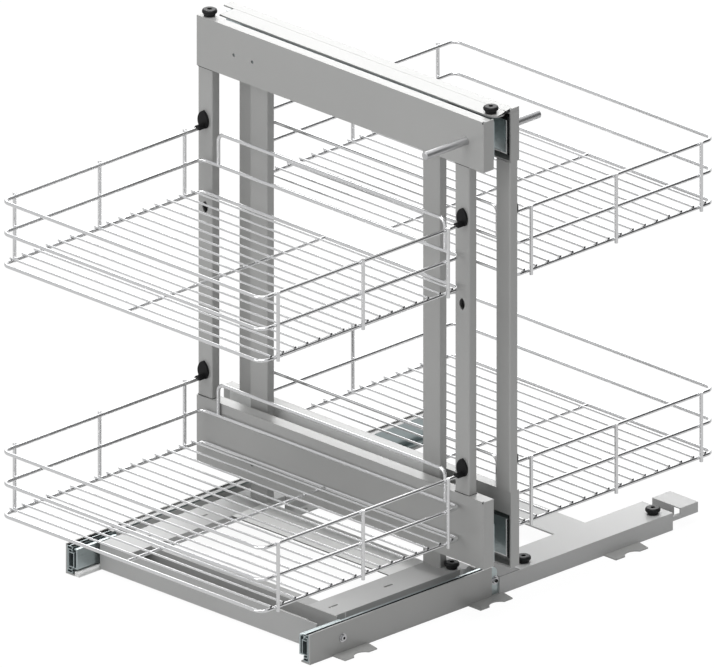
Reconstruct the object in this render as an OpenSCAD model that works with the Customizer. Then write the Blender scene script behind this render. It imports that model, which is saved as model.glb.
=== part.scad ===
// Corner cabinet pull-out unit: a floor base, a carriage that slides left on two telescopic slides,
// and two wire basket frames that pull out to the front, each on an upper and a lower slide.
// +X is the pull-out direction (to the door), +Y is to the right across the cabinet, +Z is up.

/* [Basket frames] */
// Length of the frame beams, from the back to the front of the cabinet
frame_len = 489; // [420:1:560]
// Height of the frame tops over the cabinet floor
frame_top = 648; // [620:1:700]
// Distance from the middle plane to the outer face of a beam
frame_out = 30; // [28:0.5:34]
// Depth of the left lower beam and of the left end caps, from the outer face inwards
beam_depth = 17; // [16:0.5:18]
// Depth of the flanges on the left upper beam
left_flange = 13.6; // [12:0.2:16]
// Depth of the beams on the right frame
right_depth = 14.2; // [12:0.2:16]
// Height of an upper beam
top_beam_h = 65; // [62:1:75]
// Thickness of the beam sheet
beam_wall = 2; // [1.6:0.1:2.2]
// Height of the top of the lower beams over the floor
low_beam_top = 156.5; // [152:0.5:165]
// Height of the lower beam on the left frame
left_low_h = 87; // [86:0.5:90]
// Height of the lower beam on the right frame
right_low_h = 98; // [86:1:104]
// Width of an upright tube of a basket frame
upright_w = 24.5; // [22:0.5:28]
// Depth of an upright tube of a basket frame
upright_t = 13.2; // [11:0.2:14]
// Wall of all the tubes
tube_wall = 1.5; // [1.2:0.1:1.8]
// Diameter of the door pins
pin_d = 10; // [8:0.5:12]
// Length of a door pin outside its beam
pin_len = 70; // [50:1:80]

/* [Baskets] */
// Width of a basket over the middle of its rim wires
basket_w = 336.5; // [280:0.5:360]
// Height from the lowest to the highest rim wire
basket_h = 82; // [60:1:110]
// Diameter of the rim wires and posts
rim_d = 4.5; // [4:0.1:5]
// Corner radius of the rims, at the middle of the wire
rim_r = 10.5; // [9:0.5:20]
// Diameter of the floor wires
floor_d = 2.6; // [2:0.1:3]
// Diameter of the bar under the floor wires
bar_d = 4; // [3:0.1:4.4]
// Number of floor wires in a basket
floor_wires = 16; // [12:1:18]
// Drop from the upper beam to the top rim of the left upper basket
upper_drop = 77; // [60:1:110]
// Height of the top rim of the left lower basket over the lower beam
lower_rise = 25.5; // [20:0.5:60]
// Height that the right baskets hang above the left ones
right_lift = 5.5; // [0:0.5:8]

/* [Frame slides] */
// Length of a closed frame slide
frame_slide_len = 480; // [400:1:484]
// Height of a frame slide
frame_slide_h = 49; // [44:0.5:50]
// Sheet of the left frame slides
frame_slide_wall = 1.6; // [1.3:0.1:1.8]
// Travel of a basket frame to the front
frame_travel = 440; // [300:1:440]

/* [Base] */
// Width over the two base rails, back to front
base_w = 416; // [400:1:440]
// Middle of the base, back to front, from the middle of the frames
base_mid = -16; // [-24:0.5:0]
// Left end of the base rails
base_left = -271.5; // [-300:0.5:-250]
// Right end of the front channel and of the back rail
channel_right = 342; // [300:1:360]
// Right end of the short back channel
back_channel_right = 262; // [255:1:280]
// Height of the side plates
side_h = 39; // [38:0.5:44]
// Thickness of the base sheet
base_wall = 2; // [1.5:0.1:2]
// Width of a low base channel
channel_w = 52; // [46:1:58]
// Height of a low base channel
channel_h = 22.5; // [20:0.5:26]
// Length of the sliding members of a base slide
base_slide_len = 300; // [260:1:300]
// Height of a base slide
base_slide_h = 35; // [34:0.5:36]
// Depth of a base slide, from its fixed back to its moving face
base_slide_t = 12; // [11.6:0.1:12.4]
// Sheet of the base slides and of the right frame slides
base_slide_wall = 1.2; // [1:0.1:1.3]
// Travel of the carriage to the left
carriage_travel = 280; // [200:1:280]

/* [Carriage] */
// Height of the carriage strips over the floor
strip_top = 36.5; // [34:0.5:38]
// Width of the flat of a carriage strip
strip_w = 47; // [40:1:52]
// Thickness of the carriage sheet
strip_wall = 1.8; // [1.5:0.1:2]
// Left end of the carriage strips
strip_left = -201; // [-210:1:-190]
// Width of a centre upright
post_w = 30; // [24:0.5:34]
// Depth of a centre upright
post_t = 12; // [11:0.5:12.5]
// Middle of the two centre uprights
post_back = -163; // [-180:1:-150]
post_front = 131; // [110:1:150]
// Diameter of the rubber buffers
buffer_d = 18.6; // [14:0.2:19]
// Height of the rubber buffers
buffer_h = 8.5; // [7:0.5:12]

/* [Hidden] */

// Roundness of exact curves, and one overrun for all cuts
$fn = 64;
cut = 1;

// Colours
grey = "#a4a4a2";
pale = "#c9c9c8";
zinc = "#8d9a9c";
wire_white = "#e4e4e2";
black = "#202022";
steel = "#c4c4c6";

// Clearances: between sliding bodies, at a seat, and round a ball
slide_gap = 0.5;
seat_gap = 0.1;
ball_gap = 0.05;

// The left-right middle of the whole unit, which is drawn over the origin
bracket_gap = 12.5;
bracket_len = 30;
bracket_end = channel_right + bracket_gap + bracket_len;
rim_side = 32.5;
basket_out = rim_side + basket_w + rim_d / 2;
unit_mid = (bracket_end - basket_out) / 2;

// Places that the frames share
frame_half = frame_len / 2;
web_in = frame_out - beam_wall;
rail_top = frame_top - beam_wall;
slide_drop = 4;
upper_rim = frame_top - top_beam_h - upper_drop;
lower_rim = low_beam_top + lower_rise;
rail_left = post_t / 2 + tube_wall;
rail_right = 15.3;
function rail_face(side) = side < 0 ? rail_left : rail_right;
function slide_depth(side) = web_in - rail_face(side);
function slide_sheet(side) = side < 0 ? frame_slide_wall : base_slide_wall;
top_beam_low = frame_top - top_beam_h;
top_slide_z = rail_top - slide_drop - frame_slide_h / 2;
low_slide_z = low_beam_top - left_low_h + beam_wall + slide_gap + frame_slide_h / 2;

// The two base rails: +1 for the front rail, -1 for the back rail
rail_out = base_w / 2;
slide_back = rail_out - base_wall;
slide_face = slide_back - base_slide_t;
base_slide_z = base_wall + 3 * seat_gap + base_slide_h / 2;

// A rounded rectangle, a rounded box tube and a straight wire between two points
module round_rect(w, h, r) {
  square([w, h - 2 * r], center = true);
  square([w - 2 * r, h], center = true);
  for (x = [-1, 1], y = [-1, 1]) translate([x * (w / 2 - r), y * (h / 2 - r)]) circle(r);
}

module box_tube(w, t, len, wall) {
  linear_extrude(len) difference() {
    round_rect(w, t, wall * 1.3);
    round_rect(w - 2 * wall, t - 2 * wall, wall * 0.4);
  }
}

module wire_x(len, d) {
  rotate([0, 90, 0]) cylinder(d = d, h = len, center = true);
}

module wire_y(len, d) {
  rotate([90, 0, 0]) cylinder(d = d, h = len, center = true);
}

// Profiles are drawn as depth by height. An X profile runs along X with its depth towards -Y,
// and a Y profile runs along Y with its depth towards -X.
module run_x(len) {
  rotate([90, 0, 90]) mirror([1, 0, 0]) translate([0, 0, -len / 2]) linear_extrude(len) children();
}

module run_y(len) {
  rotate([90, 0, 0]) mirror([1, 0, 0]) linear_extrude(len) children();
}

// Telescopic slide: three C members nested in each other, with balls between their flanges.
// The space from one flange to the next is slide_step, and ball_d is a little more than the
// gap, so the balls sit in grooves rolled into both flanges.
function slide_step(wall) = 3.2 * wall;
function ball_space(wall) = slide_step(wall) - wall;
function ball_size(wall) = ball_space(wall) + 0.5 * wall;
function outer_half(h) = h / 2;
function middle_half(h, wall) = h / 2 - slide_step(wall);
function inner_half(h, wall) = h / 2 - 2 * slide_step(wall);
function row_half(h, wall, row) = h / 2 - wall - ball_space(wall) / 2 - row * slide_step(wall);
function row_depth(t, row) = t * (row == 0 ? 0.42 : 0.5);

// One C member: web at depth zero, flanges to its depth, lips turned in at the mouth
module c_member(depth, half, wall, lip) {
  difference() {
    translate([0, -half]) square([depth, 2 * half]);
    translate([wall, wall - half]) square([depth - 2 * wall, 2 * (half - wall)]);
    translate([wall, lip - half]) square([depth, 2 * (half - lip)]);
  }
}

module ball_grooves(h, t, wall, row) {
  for (s = [-1, 1]) translate([row_depth(t, row), s * row_half(h, wall, row)])
    circle(d = ball_size(wall) + 2 * ball_gap);
}

module outer_section(h, t, wall) {
  difference() {
    c_member(t * 0.8, outer_half(h), wall, wall + ball_space(wall) * 0.62);
    ball_grooves(h, t, wall, 0);
  }
}

module middle_section(h, t, wall) {
  difference() {
    translate([t * 0.17, 0])
      c_member(t * 0.59, middle_half(h, wall), wall, wall + ball_space(wall) * 0.62);
    ball_grooves(h, t, wall, 0);
    ball_grooves(h, t, wall, 1);
  }
}

module inner_section(h, t, wall) {
  half = inner_half(h, wall);
  difference() {
    translate([t * 0.34, -half]) square([t * 0.66, 2 * half]);
    translate([t * 0.34 - wall, wall - half]) square([t * 0.66, 2 * (half - wall)]);
    ball_grooves(h, t, wall, 1);
  }
}

// A row of balls in its cage strip, along X or Y, from one end of the stretch
balls_in_row = 6;
module ball_row(len, wall) {
  pitch = len / balls_in_row;
  cube([len, 3 * wall, 0.6 * wall], center = true);
  for (i = [0 : balls_in_row - 1])
    translate([(i + 0.5) * pitch - len / 2, 0, 0]) sphere(d = ball_size(wall), $fn = 32);
}

// The four rows of one slide: the outer rows lie near its closed end, the inner rows near its
// opening end, where the members still overlap when the slide is drawn out
row_share = 0.36;
module slide_rows(len, h, t, wall) {
  for (row = [0, 1], s = [-1, 1])
    translate([(row == 0 ? -1 : 1) * len * (0.5 - row_share / 2 - 0.01), -row_depth(t, row),
               s * row_half(h, wall, row)])
      ball_row(len * row_share, wall);
}

// Frame slide members at their places: side is -1 for the left frame and 1 for the right one,
// whose slides are thinner and rolled from the sheet of the base slides
module frame_slide_place(side, z) {
  translate([0, side * rail_face(side), z]) mirror([0, side > 0 ? 1 : 0, 0]) children();
}

module frame_slide_outer(side, z) {
  color(zinc) frame_slide_place(side, z)
    run_x(frame_slide_len) outer_section(frame_slide_h, slide_depth(side), slide_sheet(side));
}

module frame_slide_middle(side, z) {
  color(zinc) frame_slide_place(side, z)
    run_x(frame_slide_len) middle_section(frame_slide_h, slide_depth(side), slide_sheet(side));
}

module frame_slide_inner(side, z) {
  color(zinc) frame_slide_place(side, z)
    run_x(frame_slide_len) inner_section(frame_slide_h, slide_depth(side), slide_sheet(side));
}

module frame_slide_balls(side) {
  color(steel) for (z = [low_slide_z, top_slide_z]) frame_slide_place(side, z)
    slide_rows(frame_slide_len, frame_slide_h, slide_depth(side), slide_sheet(side));
}

// Base slide members: they run along Y, with their backs on the side plates
module base_rail_place(side) {
  translate([base_mid, 0, 0]) mirror([side < 0 ? 1 : 0, 0, 0]) children();
}

module base_slide_place(side) {
  base_rail_place(side) translate([slide_back, base_left, base_slide_z]) children();
}

module base_slide_run(len) {
  translate([0, len, 0]) run_y(len) children();
}

// The back rail is long: its plate and its outer member run on to the right end of the base
function plate_len(side) = (side > 0 ? side_right : channel_right) - base_left;
module base_slide_outer(side) {
  color(zinc) base_slide_place(side)
    base_slide_run(side > 0 ? base_slide_len : plate_len(side))
      outer_section(base_slide_h, base_slide_t, base_slide_wall);
}

module base_slide_middle(side) {
  color(zinc) base_slide_place(side)
    base_slide_run(base_slide_len) middle_section(base_slide_h, base_slide_t, base_slide_wall);
}

module base_slide_inner(side) {
  color(zinc) base_slide_place(side)
    base_slide_run(base_slide_len) inner_section(base_slide_h, base_slide_t, base_slide_wall);
}

module base_slide_balls() {
  color(steel) for (side = [-1, 1]) base_slide_place(side)
    translate([0, base_slide_len / 2, 0]) rotate([0, 0, -90])
      slide_rows(base_slide_len, base_slide_h, base_slide_t, base_slide_wall);
}

// Side plate: an upright wall with a foot turned in under the slide
side_right = 36;
foot_w = 15;
module side_plate(side) {
  len = plate_len(side);
  color(grey) base_rail_place(side) translate([rail_out, base_left + len, 0]) run_y(len)
    union() {
      square([base_wall, side_h]);
      square([foot_w, base_wall]);
    }
}

// Low channels: an upside-down U with a screw foot on its inner side. The back one is short and
// stands inside the back rail.
channel_left = 49;
channel_foot = 15;
floor_hole_d = 5;
floor_hole_left = 75;
floor_hole_right = 236;
floor_hole_x = rail_out - channel_w - channel_foot / 2;
module base_channel(side) {
  channel_end = side > 0 ? channel_right : back_channel_right;
  out = side > 0 ? rail_out : rail_out - foot_w - seat_gap;
  w = out - rail_out + channel_w;
  color(pale) base_rail_place(side) difference() {
    translate([out, channel_end, 0]) run_y(channel_end - channel_left) union() {
      difference() {
        square([w, channel_h]);
        translate([base_wall, -cut]) square([w - 2 * base_wall, channel_h - base_wall + cut]);
      }
      translate([w - base_wall, 0]) square([channel_foot + base_wall, base_wall]);
    }
    for (y = [floor_hole_left, floor_hole_right])
      translate([floor_hole_x, y, -cut]) cylinder(d = floor_hole_d, h = base_wall + 2 * cut);
  }
}

// Flat plate that ties the two channels together, with its ends turned down on their walls
cross_left = 193;
cross_w = 52;
cross_tab = 14;
module base_cross_plate() {
  half = rail_out - channel_w;
  color(pale) translate([base_mid, cross_left, channel_h]) {
    translate([-half, 0, -base_wall]) cube([2 * half, cross_w, base_wall]);
    for (s = [-1, 1]) translate([s * (half - base_wall / 2) - base_wall / 2, 0, -cross_tab])
      cube([base_wall, cross_w, cross_tab]);
  }
}

// End bracket: a raised plate beyond the end of the front channel, with a flange outside and a face
// towards the channel. A strip inside the channel wall carries it on to the flange.
bracket_rise = 2.5;
bracket_wall = 1.5;
bracket_w = 48;
bracket_flange_h = 13.5;
bracket_face_w = 36;
bracket_face_h = 15;
bracket_strip_h = 6;
bracket_strip_in = 24;
module end_bracket() {
  top = channel_h + bracket_rise;
  near = bracket_end - bracket_len;
  flange_low = top - bracket_flange_h;
  color(pale) base_rail_place(1) {
    translate([rail_out - bracket_w, near, top - bracket_wall])
      cube([bracket_w, bracket_len, bracket_wall]);
    translate([rail_out - bracket_wall, near, flange_low])
      cube([bracket_wall, bracket_len, bracket_flange_h]);
    translate([rail_out - bracket_w, near, top - bracket_face_h])
      cube([bracket_face_w, bracket_wall, bracket_face_h]);
    translate([rail_out - bracket_wall, channel_right + seat_gap, flange_low])
      cube([bracket_wall, bracket_gap - seat_gap, bracket_strip_h]);
    translate([slide_back - bracket_wall, channel_right - bracket_strip_in, flange_low])
      cube([bracket_wall, bracket_strip_in + bracket_gap + bracket_wall, bracket_strip_h]);
    translate([slide_back - bracket_wall, channel_right + seat_gap, flange_low])
      cube([base_wall + bracket_wall, bracket_gap - seat_gap, bracket_wall]);
  }
}

// Floor tabs: flat ears outside the rails, with a round notch for the washer of a floor screw
tab_len = 59;
tab_out = 21;
tab_wall = 1.6;
tab_first = -203.5;
tab_pitch = 229;
notch_r = 14;
module floor_tab() {
  linear_extrude(tab_wall) difference() {
    polygon([[0, -tab_len / 2], [tab_out, -tab_len / 2], [tab_out, tab_len * 0.42],
             [0, tab_len / 2]]);
    translate([tab_out * 1.31, -tab_len * 0.03]) circle(notch_r);
  }
}

module floor_tabs() {
  color(grey) for (side = [-1, 1], i = [0 : 2]) base_rail_place(side)
    translate([rail_out, tab_first + i * tab_pitch, 0]) floor_tab();
}

// Splice plate: it bridges the gap between the front side plate and the channel behind it
splice_left = 29;
splice_len = 34;
splice_wall = 1.5;
module splice_plate() {
  low_h = channel_h - 2 * base_wall - seat_gap;
  high_h = side_h - base_wall - cut;
  high_len = channel_left - slide_gap - splice_left - 4 * slide_gap;
  color(zinc) base_rail_place(1)
    translate([slide_back, splice_left, base_wall]) rotate([90, 0, -90])
      mirror([1, 0, 0]) linear_extrude(splice_wall) {
        square([splice_len, low_h]);
        square([high_len, high_h - high_len / 2]);
        translate([high_len / 2, high_h - high_len / 2]) circle(d = high_len);
      }
}

// Hex screws through the outer faces of the rails
screw_d = 8;
screw_h = 3;
screw_z = 20;
screw_left = -216.5;
screw_right = 42.5;
socket_d = 4;
module hex_screw() {
  difference() {
    union() {
      cylinder(d = screw_d, h = screw_h);
      cylinder(d = screw_d * 1.4, h = screw_h * 0.3);
    }
    translate([0, 0, screw_h / 2]) cylinder(d = socket_d, h = screw_h, $fn = 6);
  }
}

module base_screws() {
  color(steel) for (side = [-1, 1]) base_rail_place(side) {
    translate([rail_out, screw_left, screw_z]) rotate([0, 90, 0]) hex_screw();
    translate([side > 0 ? slide_back : rail_out, screw_right, screw_z]) rotate([0, 90, 0])
      hex_screw();
  }
}

// Rubber buffer: a barrel on a narrower foot, with a hex socket in its top
module buffer() {
  r = buffer_d / 2;
  difference() {
    rotate_extrude() polygon([
      [0, 0], [r * 0.68, 0], [r * 0.76, buffer_h * 0.08], [r * 0.76, buffer_h * 0.24],
      [r * 0.72, buffer_h * 0.34], [r * 0.94, buffer_h * 0.44], [r, buffer_h * 0.56],
      [r, buffer_h * 0.76], [r * 0.93, buffer_h * 0.92], [r * 0.8, buffer_h], [0, buffer_h]]);
    translate([0, 0, buffer_h * 0.6]) cylinder(d = r * 0.7, h = buffer_h, $fn = 6);
  }
}

base_buffer_in = 15;
base_buffer_near = 104;
base_buffer_far = 323;
module base_buffers() {
  color(black) for (y = [base_buffer_near, base_buffer_far])
    base_rail_place(1) translate([rail_out - base_buffer_in, y, channel_h]) buffer();
}

// Carriage strip: flat top, a short edge turned down inside, and outside a deep step that
// reaches out and up to the inner member of the slide
strip_right = 26;
strip_edge = 10;
step_drop = 22.5;
step_rise = 14;
strip_out = 181;
slot_len = 15;
slot_w = 3;
module strip_section() {
  step_w = slide_face - strip_out;
  union() {
    translate([0, -strip_wall]) square([strip_w, strip_wall]);
    translate([strip_w - strip_wall, -strip_edge]) square([strip_wall, strip_edge]);
    translate([0, -step_drop - strip_wall]) square([strip_wall, step_drop + strip_wall]);
    translate([strip_wall - step_w - strip_wall, -step_drop - strip_wall])
      square([step_w + strip_wall, strip_wall]);
    translate([-step_w, -step_drop - strip_wall]) square([strip_wall, step_rise + strip_wall]);
  }
}

stop_d = 8;
stop_y = 8;
stop_over = 4;
module carriage_strip(side) {
  strip_len = strip_right - strip_left;
  step_z = strip_top - step_drop;
  if (side > 0) color(pale) base_rail_place(side)
    translate([(strip_out + slide_face) / 2, stop_y, step_z])
      cylinder(d = stop_d, h = step_drop + stop_over);
  color(pale) base_rail_place(side) difference() {
    translate([strip_out, strip_right, strip_top]) run_y(strip_len) strip_section();
    for (share = [0.05, 0.46])
      translate([strip_out - strip_w / 2, strip_left + share * strip_len + slot_len / 2,
                 strip_top - strip_wall / 2])
        linear_extrude(2 * strip_wall, center = true) round_rect(slot_w, slot_len, slot_w / 2.01);
  }
}

// Cross trough at the left end of the carriage, with a flange that meets the strips. Its ends
// stay clear of the slides.
trough_w = 36;
trough_flange = 18;
trough_clear = 9.5;
module carriage_cross() {
  floor_z = base_wall + slide_gap;
  trough_len = 2 * (slide_face - trough_clear);
  flange_half = strip_out - strip_w;
  color(pale) translate([base_mid, 0, 0]) {
    for (y = [strip_left - strip_wall, strip_left - trough_w])
      translate([-trough_len / 2, y, floor_z]) cube([trough_len, strip_wall, strip_top - floor_z]);
    translate([-trough_len / 2, strip_left - trough_w, floor_z])
      cube([trough_len, trough_w, strip_wall]);
    translate([-trough_len / 2, strip_left - trough_w, strip_top - strip_wall])
      cube([trough_len * 0.95, strip_wall * 2, strip_wall]);
    translate([-flange_half, strip_left - strip_wall, strip_top - strip_wall])
      cube([2 * flange_half, trough_flange + strip_wall, strip_wall]);
  }
}

// Centre uprights: box tubes from the strips to the top rail
module centre_upright(x) {
  color(grey) translate([x, 0, strip_top])
    box_tube(post_w, post_t, rail_top - tube_wall - strip_top, tube_wall);
}

// Centre rails: U channels that hold the backs of the frame slides, with the uprights inside.
// They reach further to the right, up to the thinner slides of the right frame.
rail_over = 12;
rail_margin = 1.5;
rail_back_x = post_back - post_w / 2 - rail_over;
rail_len = post_front - post_back + post_w + 2 * rail_over;
module centre_rail(top, low) {
  translate([rail_back_x, 0, 0]) difference() {
    translate([0, -rail_left, low]) cube([rail_len, rail_left + rail_right, top - low]);
    translate([-cut, tube_wall - rail_left, low - cut])
      cube([rail_len + 2 * cut, rail_left + rail_right - 2 * tube_wall, top - low - tube_wall + cut]);
  }
}

module centre_top_rail() {
  color(zinc) centre_rail(rail_top, top_slide_z - frame_slide_h / 2 - rail_margin);
}

module centre_low_rail() {
  top = low_slide_z + frame_slide_h / 2 + rail_margin;
  color(zinc) difference() {
    centre_rail(top, low_slide_z - frame_slide_h / 2 - rail_margin);
    for (x = [post_back, post_front]) translate([x, 0, top])
      cube([post_w + 2 * seat_gap, post_t + 2 * seat_gap, 4 * tube_wall], center = true);
  }
}

// Top plate, flush with the tops of the beams, with a round end under the front buffer
plate_back = -226.5;
plate_left = -9.6;
buffer_x = 226.5;
plate_gap = 0.4;
plate_right = frame_out - right_depth - plate_gap;
module centre_top_plate() {
  plate_w = plate_right - plate_left;
  round_x = frame_half - beam_wall - plate_gap - plate_w / 2;
  color(pale) translate([0, 0, rail_top]) linear_extrude(beam_wall) {
    translate([plate_back, plate_left]) square([round_x - plate_back, plate_w]);
    translate([round_x, plate_left + plate_w / 2]) circle(d = plate_w);
  }
}

strip_buffer_x = 155.5;
strip_buffer_y = 4.5;
module carriage_buffers() {
  color(black) {
    translate([buffer_x, 0, frame_top]) buffer();
    translate([strip_buffer_x, strip_buffer_y, strip_top]) buffer();
  }
}

// Basket frame beams: the depth of a profile runs from the outer face towards the middle
module frame_side(side) {
  mirror([0, side > 0 ? 1 : 0, 0]) translate([0, -frame_out, 0]) children();
}

module beam_run() {
  mirror([0, 1, 0]) run_x(frame_len) children();
}

// The front end of a beam is closed by a cap
module beam_cap(side, h) {
  translate([frame_half - beam_wall, 0, 0])
    cube([beam_wall, side < 0 ? beam_depth : right_depth, h]);
}

beam_hole_d = 4.5;
beam_hole_x = [-181.5, -150];
module top_beam(side) {
  depth = side < 0 ? left_flange : right_depth;
  color(grey) frame_side(side) translate([0, 0, top_beam_low]) difference() {
    union() {
      beam_run() difference() {
        square([depth, top_beam_h]);
        translate([beam_wall, beam_wall]) square([depth, top_beam_h - 2 * beam_wall]);
      }
      beam_cap(side, top_beam_h);
    }
    for (x = beam_hole_x) translate([-side * x, -cut, top_beam_h * 0.47]) rotate([-90, 0, 0])
      cylinder(d = beam_hole_d, h = beam_wall + 2 * cut);
  }
}

// Lower beam: a C with its open side closed over the upper third
low_lip_h = 30;
module low_beam(side, h) {
  depth = side < 0 ? beam_depth : right_depth;
  color(grey) frame_side(side) translate([0, 0, low_beam_top - h]) difference() {
    union() {
      beam_run() difference() {
        square([depth, h]);
        translate([beam_wall, beam_wall]) square([depth - 2 * beam_wall, h - 2 * beam_wall]);
        translate([beam_wall, beam_wall]) square([depth, h - low_lip_h - beam_wall]);
      }
      beam_cap(side, h);
    }
    translate([-side * beam_hole_x[1], -cut, h * 0.26]) rotate([-90, 0, 0])
      cylinder(d = beam_hole_d, h = beam_wall + 2 * cut);
  }
}

// Uprights of the basket frames, with leaf-shaped slots for other basket heights
upright_mid = web_in - upright_t / 2;
upright_shift = 26.7;
upright_out_x = frame_half - upright_w / 2;
upright_in_x = upright_out_x - upright_shift;
clip_w = 17;
clip_h = 26;
clip_rise = 8;
spare_drop = 112;
module leaf(w, h) {
  r = (w * w + h * h) / (4 * w);
  intersection() {
    translate([r - w / 2, 0]) circle(r);
    translate([w / 2 - r, 0]) circle(r);
  }
}

module frame_upright(side, x) {
  h = top_beam_low - low_beam_top;
  color(grey) difference() {
    translate([x, side * upright_mid, low_beam_top]) box_tube(upright_w, upright_t, h, tube_wall);
    translate([x, side * web_in, rims(side)[0] + clip_rise - spare_drop]) rotate([90, 0, 0])
      linear_extrude(2 * tube_wall + 2 * cut, center = true) leaf(clip_w * 0.55, clip_h * 0.6);
  }
}

// Door pin: a turned pin that stands out of the front end of an upper beam. The right one is
// a little shorter.
pin_back = 30.5;
pin_drop = 32;
pin_chamfer = 1;
pin_short = 6.5;
module door_pin(side) {
  len = pin_len - (side < 0 ? 0 : pin_short);
  color(steel) translate([frame_half - pin_back, side * frame_out, frame_top - pin_drop])
    rotate([side < 0 ? 90 : -90, 0, 0]) {
    cylinder(d = pin_d, h = len - pin_chamfer);
    translate([0, 0, len - pin_chamfer])
      cylinder(d1 = pin_d, d2 = pin_d - 2 * pin_chamfer, h = pin_chamfer);
  }
}

// Baskets are drawn for the left frame, with their open side towards +Y and the top rim at
// height zero. Their rims end on the uprights. The right ones are turned half round.
rim_over = 1.6;
basket_len = upright_out_x + upright_in_x + 2 * rim_over;
basket_mid_x = -upright_shift / 2;
basket_mid_y = -rim_side - basket_w / 2;
module basket_place(side, z) {
  rotate([0, 0, side > 0 ? 180 : 0]) translate([basket_mid_x, basket_mid_y, z]) children();
}

module rim_corner(x, y, turn) {
  translate([x, y, 0]) rotate([0, 0, turn]) rotate_extrude(angle = 90)
    translate([rim_r, 0]) circle(d = rim_d, $fn = 32);
}

// A closed rim wire
module rim_loop() {
  half_x = basket_len / 2;
  half_y = basket_w / 2;
  for (s = [-1, 1]) {
    translate([0, s * half_y, 0]) wire_x(basket_len - 2 * rim_r, rim_d);
    translate([s * half_x, 0, 0]) wire_y(basket_w - 2 * rim_r, rim_d);
  }
  rim_corner(half_x - rim_r, half_y - rim_r, 0);
  rim_corner(rim_r - half_x, half_y - rim_r, 90);
  rim_corner(rim_r - half_x, rim_r - half_y, 180);
  rim_corner(half_x - rim_r, rim_r - half_y, 270);
}

// The top rim is open at the frame: its two ends run on to the uprights
module rim_open() {
  half_x = basket_len / 2;
  half_y = basket_w / 2;
  reach = rim_side - web_in - 2 * seat_gap;
  side_len = basket_w - rim_r + reach;
  translate([0, -half_y, 0]) wire_x(basket_len - 2 * rim_r, rim_d);
  for (s = [-1, 1]) translate([s * half_x, rim_r - half_y + side_len / 2, 0])
    wire_y(side_len, rim_d);
  rim_corner(rim_r - half_x, rim_r - half_y, 180);
  rim_corner(half_x - rim_r, rim_r - half_y, 270);
}

// The guard wire at the frame side stands on the middle rim and turns over at rim height
guard_in_back = 29;
guard_in_front = 26;
guard_r = 9;
module back_guard() {
  drop = basket_h / 2;
  guard_back = guard_in_back - basket_len / 2;
  guard_front = basket_len / 2 - guard_in_front;
  translate([0, basket_w / 2, 0]) {
    translate([(guard_back + guard_front) / 2, 0, 0])
      wire_x(guard_front - guard_back - 2 * guard_r, rim_d);
    for (x = [guard_back, guard_front])
      translate([x, 0, -drop]) cylinder(d = rim_d, h = drop - guard_r);
    translate([guard_back + guard_r, 0, -guard_r]) rotate([90, 0, 0]) rotate([0, 0, 90])
      rotate_extrude(angle = 90) translate([guard_r, 0]) circle(d = rim_d, $fn = 32);
    translate([guard_front - guard_r, 0, -guard_r]) rotate([90, 0, 0])
      rotate_extrude(angle = 90) translate([guard_r, 0]) circle(d = rim_d, $fn = 32);
  }
}

weld = 0.5;
post_over = 2;
post_in = 24.5;
module basket_walls() {
  post_pitch = basket_w / 2 - post_in;
  rim_open();
  for (i = [1, 2]) translate([0, 0, -i * basket_h / 2]) rim_loop();
  back_guard();
  for (s = [-1, 1], i = [-1 : 1])
    translate([s * (basket_len / 2 + rim_d - weld), i * post_pitch, -basket_h - rim_d / 2 - post_over])
      cylinder(d = rim_d, h = basket_h + rim_d + 2 * post_over);
}

// Floor of a basket: wires laid over the bottom rim, on a bar that runs under them
floor_margin = 15;
bar_x = -8.5;
module basket_floor() {
  pitch = (basket_w - 2 * floor_margin) / (floor_wires - 1);
  floor_z = rim_d / 2 + floor_d / 2 + seat_gap;
  for (i = [0 : floor_wires - 1])
    translate([0, i * pitch + floor_margin - basket_w / 2, floor_z])
      wire_x(basket_len + rim_d * 0.8, floor_d);
  translate([bar_x, 0, floor_z - floor_d / 2 - bar_d / 2 + weld])
    wire_y(basket_w - rim_d - 2 * seat_gap, bar_d);
}

module basket(side, z) {
  color(wire_white) basket_place(side, z) basket_walls();
}

// Heights of the two rims on a frame
function rims(side) = [for (z = [upper_rim, lower_rim]) z + (side > 0 ? right_lift : 0)];

module basket_floors(side) {
  color(wire_white) for (z = rims(side))
    basket_place(side, z - basket_h) basket_floor();
}

// Clip: a leaf-shaped pad on an upright, with a saddle that holds the end of the top rim
clip_pad = 3;
saddle_w = 9;
module basket_clip(saddle_len) {
  difference() {
    union() {
      translate([0, 0, clip_rise]) rotate([90, 0, 0]) linear_extrude(clip_pad) leaf(clip_w, clip_h);
      translate([0, -saddle_len, 0]) rotate([-90, 0, 0]) cylinder(d = saddle_w, h = saddle_len);
    }
    translate([0, -saddle_len - cut, 0]) rotate([-90, 0, 0])
      cylinder(d = rim_d + 2 * seat_gap, h = saddle_len + 2 * cut);
    translate([-saddle_w, -saddle_len - cut, -saddle_w]) cube([2 * saddle_w, saddle_len + 2 * cut,
                                                              saddle_w - rim_d * 0.2]);
  }
}

module clips(side) {
  color(black) rotate([0, 0, side > 0 ? 180 : 0])
    for (x = [-1, 1], z = rims(side))
      translate([basket_mid_x + x * basket_len / 2, -web_in, z])
        basket_clip(side > 0 ? clip_pad : 4 * clip_pad);
}

left_buffer_in = 12.5;
left_buffer_y = -20.5;
module left_buffer() {
  color(black) translate([left_buffer_in - frame_half, left_buffer_y, frame_top]) buffer();
}

module place() {
  translate([0, -unit_mid, 0]) children();
}

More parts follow.
